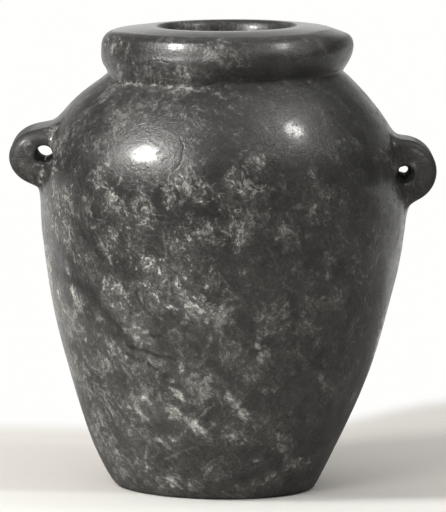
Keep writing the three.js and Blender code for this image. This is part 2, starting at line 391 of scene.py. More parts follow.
# Rim collar
collarShape = {
    "shift": 0.9,
    "seat": 161.8,  # height of the collar's own zero
    "lean": 1.4,  # degrees
    # radius and height of the top and the side, down from the lip
    "top": [(28.7, 18.15), (31.5, 18.05), (35.8, 17.6), (39.5, 17.1)],
    "leftSide": [(41.8, 16.85), (44, 16.5), (45.9, 15.75), (47.3, 14.6), (48.2, 13.1), (48.6, 11.5),
                 (48.7, 9.6), (48.75, 7.6), (48.65, 5.8), (48.2, 4), (47.2, 2.4), (46.5, 0.9), (46.2, -1.6)],
    "frontLeftSide": [(41.5, 16.8), (42.8, 16.4), (44.6, 15.7), (45.7, 14.9), (46.25, 13.8), (46.8, 12.5),
                      (47.15, 11.3), (47.5, 9.8), (48, 8), (48.25, 6), (48.3, 4.2), (48.2, 2.4),
                      (48, 0.7), (47.7, -1.7)],
    "frontRightSide": [(41.5, 16.8), (43.2, 16.3), (44.9, 15.6), (45.9, 14.8), (46.7, 13.7), (47.6, 12.3),
                       (48.4, 10.8), (48.9, 9.2), (49, 7.6), (48.5, 6), (47.6, 4.4), (46.6, 2.8),
                       (45.4, 1.1), (44.5, -1.2)],
    "rightSide": [(41.1, 16.6), (44.2, 15.5), (46.8, 14.45), (47.9, 13.8), (48.7, 12.7), (49.1, 11.2),
                  (49.15, 9.6), (48.9, 8), (48.3, 6.2), (47.5, 4.5), (46.5, 2.8), (45.4, 1.1), (44.5, -1.2)],
    # the throat, up from the seat to the lip
    "throat": [(27, -0.4), (25.6, 2), (24.7, 5.5), (24.3, 9), (24.35, 12), (24.8, 14.5),
               (25.5, 16.4), (26.4, 17.6), (27.5, 18.12)],
    # degrees round the collar between which one side turns into the next
    "leftEnd": (95, 150),
    "frontStart": (-172, -150),
    "frontEnd": (-102, -92),
    "rightStart": (-50, -18),
    "unevenness": 0.12,
    "unevenFrom": (30, 44),  # radius
    # how the mesh is stepped
    "columns": 460,
    "throatSteps": 4,
    "sideSteps": 8,
    "sideGap": 0.45,
    "sideRows": 74,
    "footRows": 8,
}
collarWaves = waves(21, 8, 9, 0.3)


def collarProfile(side):
    c = collarShape
    throat = smoothPath(c["throat"], c["throatSteps"])
    edge = evenPath(smoothPath([*c["top"], *c[side]], c["sideSteps"]), lambda q: c["sideGap"])
    shares = np.linspace(0, 1, c["sideRows"])
    edge = np.stack([np.interp(shares, np.linspace(0, 1, len(edge)), edge[:, i]) for i in (0, 1)], 1)
    foot = np.stack([np.linspace(edge[-1, i], throat[0, i], c["footRows"])[1:-1] for i in (0, 1)], 1)
    return np.vstack([throat, edge, foot])


def buildCollar():
    c = collarShape
    turn = np.linspace(-math.pi, math.pi, c["columns"], endpoint=False)
    degrees = np.degrees(turn)
    # the left front keeps its full width down to the crease, the rest tapers
    frontEnds = 1 - smoothStep(*c["frontEnd"], degrees)
    leftness = np.where(degrees > 0, smoothStep(*c["leftEnd"], degrees), frontEnds)
    fullness = smoothStep(*c["frontStart"], degrees) * frontEnds
    rightness = smoothStep(*c["rightStart"], degrees)
    lean = math.radians(c["lean"])
    rows = []
    sides = [collarProfile(side) for side in ("leftSide", "frontLeftSide", "frontRightSide", "rightSide")]
    for left, frontLeft, frontRight, right in zip(*sides):
        r, z = (frontRight[i] + (right[i] - frontRight[i]) * rightness for i in (0, 1))
        r = r + (left[0] - r) * leftness + (frontLeft[0] - left[0]) * fullness
        z = z + (left[1] - z) * leftness + (frontLeft[1] - left[1]) * fullness
        r = r + c["unevenness"] * ripple(collarWaves, turn, z) * smoothStep(*c["unevenFrom"], r)
        x, y = r * np.cos(turn), r * np.sin(turn)
        rows.append(np.stack([c["shift"] + x * math.cos(lean) - z * math.sin(lean), y,
                              c["seat"] + x * math.sin(lean) + z * math.cos(lean)], 1))
    faces = gridFaces(len(rows), c["columns"], closeRows=True)
    return makeObject("collar_stone_form", np.vstack(rows), faces)


collar = buildCollar()
print("collar", len(collar.data.polygons), "faces")


# Lugs
def blended(a, b, reach):
    near = np.maximum(reach - np.abs(a - b), 0) / reach
    return np.minimum(a, b) - near ** 3 * reach / 6


def lugField(lug):
    # a function of the place that is below zero inside the lug
    s = lugShape
    parts = waves(lug["seed"], 6, 5, 0.35)

    def field(x, y, z):
        wall = wallGap(x, y, z)
        a = (x - lug["side"] * s["middleOut"]) / s["reach"]
        grown = lug["frontRise"] * np.clip(0.5 - y / s["length"], 0, 1)
        halfHeight = lug["halfHeight"] + grown
        b = (z - lug["height"] - grown) / halfHeight
        q = np.sqrt(a * a + b * b) + 1e-6
        oval = (q - 1) * q / np.sqrt((a / s["reach"]) ** 2 + (b / halfHeight) ** 2 + 1e-9)
        oval = oval + s["roughness"] * ripple(parts, np.arctan2(b, a), y)
        ends = np.abs(y) - s["length"] / 2
        round_, end = oval + lug["edge"], ends + lug["edge"]
        tube = np.hypot(np.maximum(round_, 0), np.maximum(end, 0)) - lug["edge"]
        tube = tube + np.minimum(np.maximum(round_, end), 0)
        reach = lug["bottomBlend"] + (lug["topBlend"] - lug["bottomBlend"]) * smoothStep(-0.5, 0.6, b)
        reach = reach + (s["endBlend"] - reach) * smoothStep(-5, 0.5, ends)
        form = blended(wall + s["sunk"], tube, reach)
        form = np.maximum(form, tube - reach - s["skirt"])
        form = np.maximum(form, -(wall + s["depth"]))
        return np.maximum(form, s["boreLining"] - boreGap(lug, x, y, z))

    return field


def skinOf(field, low, high, cell):
    # closed quad skin of the space where the field is below zero
    axes = [np.arange(low[i], high[i] + cell, cell) for i in range(3)]
    f = field(*np.meshgrid(*axes, indexing="ij"))
    n = np.array(f.shape) - 1
    middle, count, crossed = np.zeros((*n, 3)), np.zeros(n), []
    for axis in range(3):
        a, b = np.delete(f, -1, axis), np.delete(f, 0, axis)
        crossing = (a < 0) != (b < 0)
        share = np.where(crossing, a / np.where(crossing, a - b, 1), 0)
        crossed.append((crossing, (a < 0)[crossing]))
        others = [i for i in range(3) if i != axis]
        for steps in ((0, 0), (0, 1), (1, 0), (1, 1)):  # a cell's four edges along this axis
            window = [slice(None)] * 3
            for other, step in zip(others, steps):
                window[other] = slice(step, step + n[other])
            edge = crossing[tuple(window)]
            count += edge
            middle[..., axis] += share[tuple(window)]
            for other, step in zip(others, steps):
                middle[..., other] += step * edge
    used = count > 0
    index = np.full(tuple(n), -1)
    index[used] = np.arange(used.sum())
    points = np.array(low) + (np.argwhere(used) + middle[used] / count[used][:, None]) * cell
    faces = []
    for axis, (crossing, inward) in enumerate(crossed):
        ring = []
        for p, q in ((-1, -1), (0, -1), (0, 0), (-1, 0)):
            at = np.argwhere(crossing)
            at[:, (axis + 1) % 3] += p
            at[:, (axis + 2) % 3] += q
            ring.append(index[tuple(at.T)])
        ring = np.stack(ring, 1)
        ring[~inward] = ring[~inward][:, ::-1]
        faces.append(ring[(ring >= 0).all(1)])  # leaves out rings that the edge of the space cuts
    nudge = 0.05
    for _ in range(4):  # draws the points onto the form
        rises = [field(*(points + step).T) - field(*(points - step).T) for step in np.eye(3) * nudge]
        slope = np.stack(rises, 1) / (2 * nudge)
        move = slope * (field(*points.T) / np.maximum((slope ** 2).sum(1), 0.2))[:, None]
        points = points - np.clip(move, -cell * 0.4, cell * 0.4) * 0.8
    return points, np.vstack(faces).tolist()


def buildLug(name):
    lug = lugs[name]
    s = lugShape
    room = s["margins"]
    middle = lug["side"] * (s["middleOut"] + 1)
    end = s["length"] / 2 + room["end"]
    inward = room["inward"] if lug["side"] < 0 else 0
    low = (middle - room["side"], -end, lug["height"] - room["below"])
    high = (middle + room["side"] + inward, end, lug["height"] + room["above"] + lug["topBlend"])
    points, faces = skinOf(lugField(lug), low, high, s["cell"])
    return makeObject(name + "_stone_form", points, faces)


leftLug, rightLug = buildLug("left_lug"), buildLug("right_lug")
print("lugs", len(leftLug.data.polygons), len(rightLug.data.polygons), "faces")


# Marks seen in the stone, with some painted highlights and painted light, placed by pixels of the
# photograph's frame
# u, v, half length, half width, tilt in degrees (0 along u, positive down to the right), strength
paleSpots = [
    (127, 54, 11, 3, 88, 1), (112, 50, 5, 1.5, 85, 0.7), (187, 76, 4, 3.5, 80, 0.8),
    (150, 90, 9, 3, 5, 0.6), (172, 91, 9, 3, 8, 0.6), (196, 91, 10, 3.5, 5, 0.7), (216, 94, 8, 3, 20, 0.5),
    (158, 41, 1.5, 1.5, 0, 1), (218, 40, 2, 1.5, 0, 0.9), (226, 42, 2, 1, 0, 0.8),
    (222, 46, 2, 1.5, 0, 0.7), (53.5, 130, 5, 1.3, -40, 0.6), (50, 139, 6, 1.2, 90, 0.45),
    # 26.5, 143.5 is a painted highlight on the left lug's rounded end; 52, 161, 42, 173 and 39, 182 are a
    # painted highlight on the fillet below the left lug's bore
    (26.5, 143.5, 4, 1.2, -50, 1), (52, 161, 7, 2, 115, 1), (42, 173, 6, 1.3, 110, 0.8),
    # 415, 150.5 and 422, 154 are a painted highlight on the right lug's rounded end
    (39, 182, 5, 1.2, 100, 0.7), (22, 158, 8, 2, 95, 0.5), (415, 150.5, 4, 0.8, 20, 0.7),
    (422, 154, 4, 0.8, 35, 0.7), (187, 129, 5, 2, 20, 0.5), (309, 82, 2, 1.2, 20, 1),
    # 68, 272 and 73, 292 are painted light: the pale sheen of the reflection along the left edge
    (68, 272, 9, 3.5, 75, 0.6), (73, 292, 10, 4, 70, 0.8), (259, 88, 4, 1, 50, 0.8),
    (231, 108, 2.5, 2, 0, 0.7), (262, 160, 7, 5, 70, 0.8), (228, 226, 5, 4, 40, 0.8),
    (285, 229, 4, 3, 0, 0.8), (297, 207, 8, 2, 0, 0.7), (315, 206, 2, 2, 0, 0.9), (251, 213, 4, 3, 0, 0.6),
    (241, 243, 5, 2.5, 0, 0.7), (306, 236, 6, 1.2, -10, 0.6), (328, 276, 3, 4, 0, 0.7),
    (252, 260, 5, 4, 0, 0.5), (298, 244, 3, 2, 0, 0.6), (334, 260, 2.5, 2, 0, 0.6),
    (354, 257, 2.5, 2, 0, 0.5), (148, 212, 6, 3.5, 60, 0.7), (178, 200, 5, 3, 0, 0.6),
    (204, 202, 5, 3, 0, 0.6), (111, 198, 5, 3, 45, 0.5), (135, 325, 9, 4, 10, 0.5),
    (134, 338, 7, 3, 10, 0.6), (162, 362, 11, 4, 15, 0.45), (125, 331, 3, 1, 50, 0.9),
    (111, 345, 2.5, 2, 0, 0.8), (86, 340, 2, 1.5, 0, 0.6), (126, 357, 2.5, 2, 0, 0.6),
    (168, 307, 2.5, 1.5, 0, 0.8), (184, 323, 5, 1.2, 5, 0.8), (182, 368, 4, 1.2, 60, 0.9),
    (209, 338, 4, 3, 60, 0.8), (148, 343, 3, 2, 0, 0.5), (171, 381, 4, 2.5, 80, 0.8),
    (174, 391, 6, 3, 60, 0.9), (180, 397, 5, 2.5, 50, 0.8), (176, 412, 7, 4, 25, 0.95),
    (172, 416, 5, 3, 60, 0.85), (190, 421, 8, 4, 35, 0.95), (198, 429, 9, 3.5, 30, 0.95),
    (205, 432, 4, 1.5, 10, 0.7), (142, 397, 8, 3.5, -20, 0.75), (140, 414, 7, 3.5, 70, 0.6),
    (158, 440, 7, 1.8, 8, 0.8), (174, 441, 6, 2, 5, 0.75), (112, 433, 6, 2.5, 80, 0.6),
    (122, 429, 4, 2, 30, 0.5), (149, 467, 5, 2.5, 50, 0.6), (178, 466, 4, 1.5, 20, 0.6),
    (170, 478, 6, 3.5, 45, 0.9), (173, 486, 3, 1, 40, 0.9), (192, 469, 3, 1.5, 90, 0.6),
    (190, 486, 5, 1.2, 90, 0.5), (207, 474, 4, 1.2, -40, 0.6), (146, 457, 2, 2, 0, 0.6),
    (229, 396, 5, 3, 60, 1), (235, 404, 7, 4.5, 50, 1), (243, 412, 7, 3, 45, 0.9),
    (246, 419, 7, 1.5, 20, 0.7), (240, 424, 6, 1, 5, 0.5), (231, 323, 5, 3.5, 60, 0.6),
    (277, 327, 10, 4, 20, 0.5), (258, 346, 3.5, 2.5, 0, 0.8), (260, 356, 4, 3.5, 0, 0.5),
    (245, 378, 7, 3.5, 20, 0.55), (264, 391, 4, 2, 20, 0.8), (291, 413, 3, 1.8, 30, 0.7),
    (308, 421, 2, 2, 0, 0.6), (306, 329, 3, 1.8, 90, 0.6), (315, 347, 9, 1.5, 100, 0.5),
    (232, 438, 5, 3.5, 0, 0.65), (240, 444, 5, 1, 0, 0.6), (300, 459, 3.5, 1.2, 50, 0.7),
    (273, 475, 2, 2, 0, 0.9), (262, 484, 4, 3, 0, 0.5), (238, 487, 5, 4, 70, 0.5), (332, 396, 2, 2, 0, 0.5),
    (324, 360, 4, 1.5, -20, 0.5),
]
darkSpots = [
    (126, 338, 12, 5, 35, 0.5), (100, 325, 8, 5, 40, 0.4), (210, 411, 7, 6, 0, 0.5),
    (198, 222, 24, 13, -20, 0.8), (222, 300, 10, 7, 0, 0.5),
]
# turn in degrees, half width in degrees, height, half height, strength
crustSpots = [
    (-141, 5, 160.1, 1.2, 1.15), (-134, 4, 160.3, 1, 1), (-124, 6, 160.4, 0.8, 0.75),
    (-116, 4, 160.1, 1, 0.85), (-108, 6, 159.8, 1.4, 1), (-99, 5, 160, 1, 0.7),
]
# points of each line, half width, strength
paleVeinsAndHighlights = [
    # 384, 163 to 390, 157 is a painted highlight on the wall beside the right lug, and 394, 180 to 402, 203 a
    # painted highlight along the edge between that lug's end and the wall
    ([(151, 66), (150, 74), (151, 82)], 0.6, 0.77), ([(384, 163), (390, 157)], 1.4, 0.85),
    ([(394, 180), (401, 192), (402, 203)], 0.8, 0.64), ([(92, 106), (84, 113), (72, 128)], 0.9, 0.85),
    ([(162, 230), (164, 245), (167, 270), (170, 285)], 1, 0.77), ([(170, 285), (168, 302)], 0.9, 0.77),
    ([(99, 152), (99, 163)], 1, 0.77), ([(98, 175), (103, 186)], 1, 0.77),
    ([(116, 207), (120, 222)], 0.8, 0.77), ([(338, 95), (341, 104)], 1.2, 0.77),
    ([(215, 318), (230, 310), (239, 305)], 1.6, 0.85), ([(215, 327), (225, 322)], 1.8, 0.85),
    ([(256, 336), (270, 318), (285, 297)], 0.9, 0.64), ([(260, 339), (274, 320), (290, 299)], 0.8, 0.51),
    ([(210, 335), (206, 350), (203, 360), (198, 368)], 1.4, 0.77), ([(201, 415), (214, 402)], 1.2, 0.85),
    ([(141, 423), (150, 420)], 1.2, 0.85), ([(160, 461), (180, 453), (197, 447)], 1, 0.64),
    ([(205, 431), (219, 421)], 1.2, 0.64), ([(306, 365), (292, 374)], 1.2, 0.51),
    ([(231, 48), (236, 53), (240, 50)], 1.2, 0.77),
]
darkVeins = [
    ([(149, 60), (148, 66), (149, 73)], 0.5, 0.5), ([(150, 62), (158, 62), (170, 64)], 0.5, 0.3),
    ([(119, 28), (125, 29), (132, 31)], 0.5, 0.9),
    ([(181, 138), (184, 148), (183, 158), (178, 166), (172, 172)], 0.8, 0.65),
    ([(152, 143), (158, 146)], 1.2, 0.7), ([(158, 153), (164, 149)], 1.2, 0.9),
    ([(136, 154), (139, 156)], 1.2, 0.7), ([(163, 161), (172, 156)], 0.9, 0.6),
    ([(188, 110), (196, 118), (206, 125)], 1.5, 0.3),
    ([(130, 346), (145, 351), (160, 355), (175, 360)], 1.6, 0.8),
    ([(127, 354), (142, 360), (151, 365), (160, 371)], 1.8, 0.8), ([(144, 335), (160, 336)], 1, 0.6),
    ([(279, 128), (289, 120), (295, 113)], 0.7, 0.45),
]
darkBands = [
    ([(60, 240), (68, 256), (75, 270)], 3, 0.8), ([(72, 218), (88, 240), (105, 262)], 2.2, 0.7),
    ([(60, 272), (89, 292), (100, 306), (112, 319), (122, 330)], 3.6, 1),
    ([(118, 334), (128, 340), (134, 344)], 4.5, 0.9), ([(100, 325), (115, 335)], 4, 0.7),
    ([(165, 375), (172, 384)], 2.5, 0.7), ([(212, 405), (206, 418)], 5, 0.6),
]


pieces = (body, collar, leftLug, rightLug)
skins = []
for piece in pieces:
    corners = [tuple(v.co / mm) for v in piece.data.vertices]
    skins.append(BVHTree.FromPolygons(corners, [tuple(f.vertices) for f in piece.data.polygons]))


def onStone(u, v):
    # the point of the stone that lies under a pixel of the photograph's frame, its normal and its piece
    start, line = Vector(view["place"]), Vector(sightLine(u, v))
    hits = [(*skin.ray_cast(start, line), piece) for skin, piece in zip(skins, pieces)]
    point, normal, _, _, piece = min((hit for hit in hits if hit[0] is not None), key=lambda hit: hit[3])
    return np.array(point), np.array(normal), piece


photoScale = 2.567  # pixels for one mm at the jar
facing = viewAxes()[2]  # lines are drawn as on a sheet that faces this way, and only on the front
paint = {
    "spotEdge": 1.5,  # pixels added to a spot's half sizes, for its soft edge
    "bandEdge": 1,
    "spotDepth": 8,  # mm off a spot's plane, where it ends
    "crustFrom": 42,  # radius of the crease
    "lining": 0.35,  # thickness of what counts as a bore's inside
    "boreReach": 16,
    "boreDark": 3,  # a dark density above 1.5 marks a bore
    "lugStands": (0.4, 5.5),  # mm off the wall, between which a lug takes on its own look
}


def onSheet(points):
    return points - (points @ facing)[..., None] * facing


def stretches(path):
    # the straight parts of a line, on the sheet
    spots = [onSheet(onStone(u, v)[0]) for u, v in path]
    return zip(spots[:-1], spots[1:])


def spotMask(points, u, v, halfLong, halfWide, tilt, strength):
    middle, normal, _ = onStone(u, v)
    level = np.cross((0, 0, 1), normal)  # along the surface, to the right
    level /= np.linalg.norm(level)
    away = points - middle
    a, b = away @ level, away @ np.cross(normal, level)
    c, s = math.cos(math.radians(tilt)), math.sin(math.radians(tilt))
    along = (a * c - b * s) * photoScale / (halfLong + paint["spotEdge"])
    across = (a * s + b * c) * photoScale / (halfWide + paint["spotEdge"])
    return strength * np.exp(-(along ** 2 + across ** 2)) * (np.abs(away @ normal) < paint["spotDepth"])


def bandMask(points, a, b, halfWide, strength):
    away = onSheet(points) - a
    share = np.clip(away @ (b - a) / ((b - a) @ (b - a)), 0, 1)
    gap = np.linalg.norm(away - np.outer(share, b - a), axis=1) * photoScale
    return strength * np.exp(-(gap / (halfWide + paint["bandEdge"])) ** 2) * (points[:, 1] < 0)


def crustMask(points, where, halfTurn, level, halfHigh, strength):
    x, y, z = points.T
    turn = (np.degrees(np.arctan2(y, x)) - where) / halfTurn
    rise = (z - leanLift(x, z) - level) / halfHigh
    return strength * np.exp(-turn ** 2 - rise ** 2) * (np.hypot(x, y) >= paint["crustFrom"])


def paintMarks(piece):
    # the marks layer holds pale density (some of it painted highlights and painted light), dark density
    # (inside the bores, painted shade) and crust; onLug is the share of the lug's own look
    mesh = piece.data
    points = np.empty(len(mesh.vertices) * 3)
    mesh.vertices.foreach_get("co", points)
    points = points.reshape(-1, 3) / mm
    pale = dark = crust = np.zeros(len(points))
    for mark in paleSpots:
        pale = np.maximum(pale, spotMask(points, *mark))
    for mark in darkSpots:
        dark = np.maximum(dark, spotMask(points, *mark))
    for path, halfWide, strength in darkBands:
        for a, b in stretches(path):
            dark = np.maximum(dark, bandMask(points, a, b, halfWide, strength))
    for mark in crustSpots:
        crust = np.maximum(crust, crustMask(points, *mark))
    # inside the bores the dark density is set high: it paints shade there, and marks the bores for the
    # painted light the stone shader adds
    for lug in lugs.values():
        inBore = (boreGap(lug, *points.T) < paint["lining"]) & (np.abs(points[:, 1]) < paint["boreReach"])
        dark = np.where(inBore, paint["boreDark"], dark)
    if piece in (leftLug, rightLug):
        onLug = mesh.attributes.new("onLug", "FLOAT", "POINT")
        onLug.data.foreach_set("value", smoothStep(*paint["lugStands"], wallGap(*points.T)))
    layer = mesh.attributes.new("stoneMarksAndLight", "FLOAT_VECTOR", "POINT")
    layer.data.foreach_set("vector", np.stack([pale, dark, crust], 1).ravel())


for piece in pieces:
    paintMarks(piece)
print("marks painted")


# Node helpers
current = {}  # holds the tree that nodes are added to


def fill(node, inputs):
    # sets or links the inputs; a node stands for its first output
    for key, value in inputs.items():
        if isinstance(value, bpy.types.Node):
            value = value.outputs[0]
        if isinstance(value, bpy.types.NodeSocket):
            current["tree"].links.new(value, node.inputs[key])
        else:
            node.inputs[key].default_value = value
    return node


def addNode(kind, inputs=None, **settings):
    node = current["tree"].nodes.new("ShaderNode" + kind)
    for key, value in settings.items():
        setattr(node, key, value)
    return fill(node, inputs or {})


def maths(operation, a, b=0, clamp=False):
    return addNode("Math", {0: a, 1: b}, operation=operation, use_clamp=clamp)


def times(value, *others):
    for other in others:
        value = maths("MULTIPLY", value, other)
    return value


def total(*terms):
    # sum of values, each with its weight
    result = None
    for value, weight in terms:
        part = times(value, weight)
        result = part if result is None else maths("ADD", result, part)
    return result


def vector(operation, a, b=(0, 0, 0)):
    node = addNode("VectorMath", {0: a, "Scale" if operation == "SCALE" else 1: b}, operation=operation)
    return node.outputs["Value" if operation in ("DOT_PRODUCT", "DISTANCE", "LENGTH") else "Vector"]


def axesOf(place):
    return addNode("SeparateXYZ", {0: place}).outputs


def blend(share, a, b, colours=False):
    first = 6 if colours else 2
    node = addNode("Mix", {0: share, first: a, first + 1: b}, data_type="RGBA" if colours else "FLOAT")
    return node.outputs[2 if colours else 0]


def spread(value, low, high, toLow=0, toHigh=1, curve="SMOOTHSTEP"):
    inputs = {"Value": value, "From Min": low, "From Max": high, "To Min": toLow, "To Max": toHigh}
    return addNode("MapRange", inputs, interpolation_type=curve)


def noiseAt(place, scale, detail=3, roughness=0.6):
    inputs = {"Vector": place, "Scale": scale, "Detail": detail, "Roughness": roughness}
    return addNode("TexNoise", inputs)


def evenNoise(*noise):
    # noise that swings about zero
    return maths("SUBTRACT", noiseAt(*noise), 0.5)


def warped(place, *warps):
    # the place moved about, for each scale and reach by up to half of the reach, in metres
    for scale, reach in warps:
        drift = vector("SUBTRACT", noiseAt(place, scale).outputs["Color"], (0.5, 0.5, 0.5))
        place = vector("ADD", place, vector("SCALE", drift, reach))
    return place


def cellTone(place, scale):
    # a random value, about zero, for each crystal patch, and the distance from its middle
    cells = addNode("TexVoronoi", {"Vector": place, "Scale": scale}).outputs
    chance = addNode("SeparateColor", {"Color": cells["Color"]})
    return maths("SUBTRACT", chance, 0.5), cells["Distance"]


def edgeGap(place, scale):
    return addNode("TexVoronoi", {"Vector": place, "Scale": scale}, feature="DISTANCE_TO_EDGE")


def openGroup(name, inputs):
    # an input without a value is a place
    tree = current["tree"] = bpy.data.node_groups.new(name, "ShaderNodeTree")
    for label, value in inputs.items():
        kind = "NodeSocketVector" if value is None else "NodeSocketFloat"
        socket = tree.interface.new_socket(label, in_out="INPUT", socket_type=kind)
        if value is not None:
            socket.default_value = value
    return tree.nodes.new("NodeGroupInput").outputs


def closeGroup(outputs):
    tree = current["tree"]
    for label in outputs:
        tree.interface.new_socket(label, in_out="OUTPUT", socket_type="NodeSocketFloat")
    fill(tree.nodes.new("NodeGroupOutput"), outputs)
    return tree


# Stone groups
mottlingLooks = {
    "flow": {"Rotation": (0, 0.9, 0), "Scale": (1.2, 1, 0.9)},
    "warps": [(90, 0.010), (420, 0.0022)],
    # noises: scale, detail, roughness
    "clouds": (30, 3, 0.6),
    "clusters": (95, 4, 0.65),
    "smudges": (55, 3, 0.6),
    "dots": (480, 2, 0.6),
    "fine": (1100, 2, 0.6),
    "threads": (240, 2, 0.5),
    "fineThreads": (430, 2, 0.5),
    "crystals": [(48, 0.16), (125, 0.22)],  # scale, weight
    "spotScale": 210,
    # ranges: from, to and the values there
    "active": (-0.06, 0.2),
    "thread": (0, 0.055, 1, 0),
    "fineThread": (0, 0.06, 1, 0),
    "filled": (0.13, 0.24),
    "soft": (-0.2, 0.35),
    "spotSize": (0.1, 0.24, 1, 0),
    "spotChance": (0.3, 0.36),
    "smudge": (0.02, 0.14),
    "level": 0.32,
}


def mottlingGroup():
    # how pale the stone is, as a power of e: patches, clouds, clustered granules, lace, spots and grain
    given = openGroup("stone mottling", {"Place": None, "Density": 0, "Contrast": 1})
    m = mottlingLooks
    flow = addNode("Mapping", {"Vector": given["Place"], **m["flow"]}, vector_type="TEXTURE")
    drifted = warped(flow, *m["warps"])
    clouds = evenNoise(flow, *m["clouds"])
    fine = evenNoise(given["Place"], *m["fine"])
    clusters, dots, smudges, threads, fineThreads = (
        evenNoise(drifted, *m[name]) for name in ("clusters", "dots", "smudges", "threads", "fineThreads"))
    patches = total(*((cellTone(drifted, scale)[0], weight) for scale, weight in m["crystals"]))
    crowd = total((clusters, 1.4), (given["Density"], 0.2), (patches, 0.3))
    active = spread(total((crowd, 1), (dots, 0.6)), *m["active"])
    thread = spread(maths("ABSOLUTE", threads), *m["thread"])
    fineThread = spread(maths("ABSOLUTE", fineThreads), *m["fineThread"])
    lace = times(active, maths("MAXIMUM", thread, times(fineThread, 0.7)))
    filled = spread(total((dots, 1), (crowd, 0.8), (fine, 0.4)), *m["filled"])
    soft = spread(total((crowd, 1), (dots, 0.4), (fine, 0.4)), *m["soft"])
    chance, gap = cellTone(drifted, m["spotScale"])
    spots = times(spread(gap, *m["spotSize"]), spread(chance, *m["spotChance"]))
    smudge = spread(smudges, *m["smudge"])
    tone = total((patches, 1.15), (lace, 0.62), (filled, 0.5), (soft, 0.9), (spots, 0.55), (clouds, 1.2),
                 (smudge, -0.45), (fine, 1.1), (dots, 1))
    tone = times(maths("SUBTRACT", tone, m["level"]), given["Contrast"])
    return closeGroup({"Tone": tone, "Granules": maths("MAXIMUM", lace, filled)})


def hairlineGroup():
    # hairline veins that wander through the stone, with breaks
    given = openGroup("stone hairlines", {"Place": None, "Scale": 38, "Width": 0.03})
    place = warped(given["Place"], (60, 0.02))
    line = spread(edgeGap(place, given["Scale"]), 0, given["Width"], 1, 0, curve="LINEAR")
    breaks = spread(noiseAt(place, 35, 2), 0.5, 0.62)
    return closeGroup({"Line": times(line, breaks)})


def streakGroup():
    # one straight stretch of a vein or of a painted highlight line: Along is its length and way, Share is
    # Along over its length squared
    inputs = {"Place": None, "Start": None, "Along": None, "Share": None, "Width": 0.0005, "Strength": 1}
    given = openGroup("vein or highlight stretch", inputs)
    away = vector("SUBTRACT", given["Place"], given["Start"])
    share = maths("ADD", vector("DOT_PRODUCT", away, given["Share"]), 0, clamp=True)
    gap = vector("DISTANCE", away, vector("SCALE", given["Along"], share))
    return closeGroup({"Mask": spread(gap, given["Width"], 0, 0, given["Strength"])})


surfaceLooks = {
    "ripples": (330, 3, 0.6),
    "fine": (1000, 3, 0.7),
    "crackle": 150,  # cells in a metre
    "crackleWarp": (150, 0.008),
    "crackleWidth": (0, 0.06, 1, 0),
    "crackleArea": (90, 2),
    "crackleBreaks": (0.52, 0.62),
    "pits": 260,
    "pitSize": (0.12, 0.26, 1, 0),
    "pitChance": (0.38, 0.4),
    "scratches": {"Rotation": (0.3, 0.9, 0.2), "Scale": (40, 40, 1400)},
    "scratchBreaks": (0.62, 0.7),
}


def surfaceGroup():
    # small relief: polish ripples, grain, crackle, pits and scratches
    given = openGroup("ground surface", {"Place": None, "Pits": 0.5, "Scratches": 0.3})
    s = surfaceLooks
    place = given["Place"]
    crackle = spread(edgeGap(warped(place, s["crackleWarp"]), s["crackle"]), *s["crackleWidth"])
    crackle = times(crackle, spread(noiseAt(place, *s["crackleArea"]), *s["crackleBreaks"]))
    chance, gap = cellTone(place, s["pits"])
    pit = times(spread(gap, *s["pitSize"]), spread(chance, *s["pitChance"]))
    turned = addNode("Mapping", {"Vector": place, **s["scratches"]})
    scratch = spread(noiseAt(turned, 1, 2), *s["scratchBreaks"])
    height = total((noiseAt(place, *s["ripples"]), 0.7), (noiseAt(place, *s["fine"]), 0.9), (crackle, -0.5))
    for part, depth in ((pit, given["Pits"]), (scratch, given["Scratches"])):
        height = maths("SUBTRACT", height, times(part, depth))
    return closeGroup({"Height": height})


groups = {
    "mottling": mottlingGroup(),
    "hairlines": hairlineGroup(),
    "streak": streakGroup(),
    "surface": surfaceGroup(),
}


def useGroup(name, inputs):
    return addNode("Group", inputs, node_tree=groups[name]).outputs


# Stone
stoneLooks = {
    "ground": (0.0365, 0.0358, 0.0338),  # colour where the stone has no pale granules
    "crust": (0.36, 0.352, 0.335, 1),
    "leftDensityAndLight": 0.28,  # how much denser the pale granules are on the left than on the right: partly the stone's own, partly painted light on the left and painted shade on the right
    "lowLeftDensity": 0.25,
    "markDensity": 0.9,
    "lugDensity": -0.25,
    "plainContrast": 0.78,
    "lugContrast": 0.8,
    "paleLine": 1.15,  # tone of the pale lines
    "veinWarps": [(170, 0.003), (700, 0.0011)],
    "veinGaps": (240, 3, 0.6),
    "veinEdge": (1.4, 1),  # a line's full half width: so many times its own, and so many pixels more
    "ragged": (300, 4, 0.75),  # noise at the edges of the pale marks
    "speckled": (500, 5, 0.8),  # noise in the crust
    "polishAreas": (60, 3),
    "dullSpots": (330, 3, 0.7),
    "lugRough": 0.6,
    "boreRough": 0.7,
    "crustRough": 0.9,
    "granuleRough": 0.14,
    "lugPolish": 0.1,
    "granulePolish": 0.35,
    "dullPolish": 0.2,
    "reliefDepth": 0.0003,  # m
    "shader": {"IOR": 1.5, "Specular IOR Level": 0.35, "Coat Roughness": 0.17, "Coat IOR": 1.5},
}
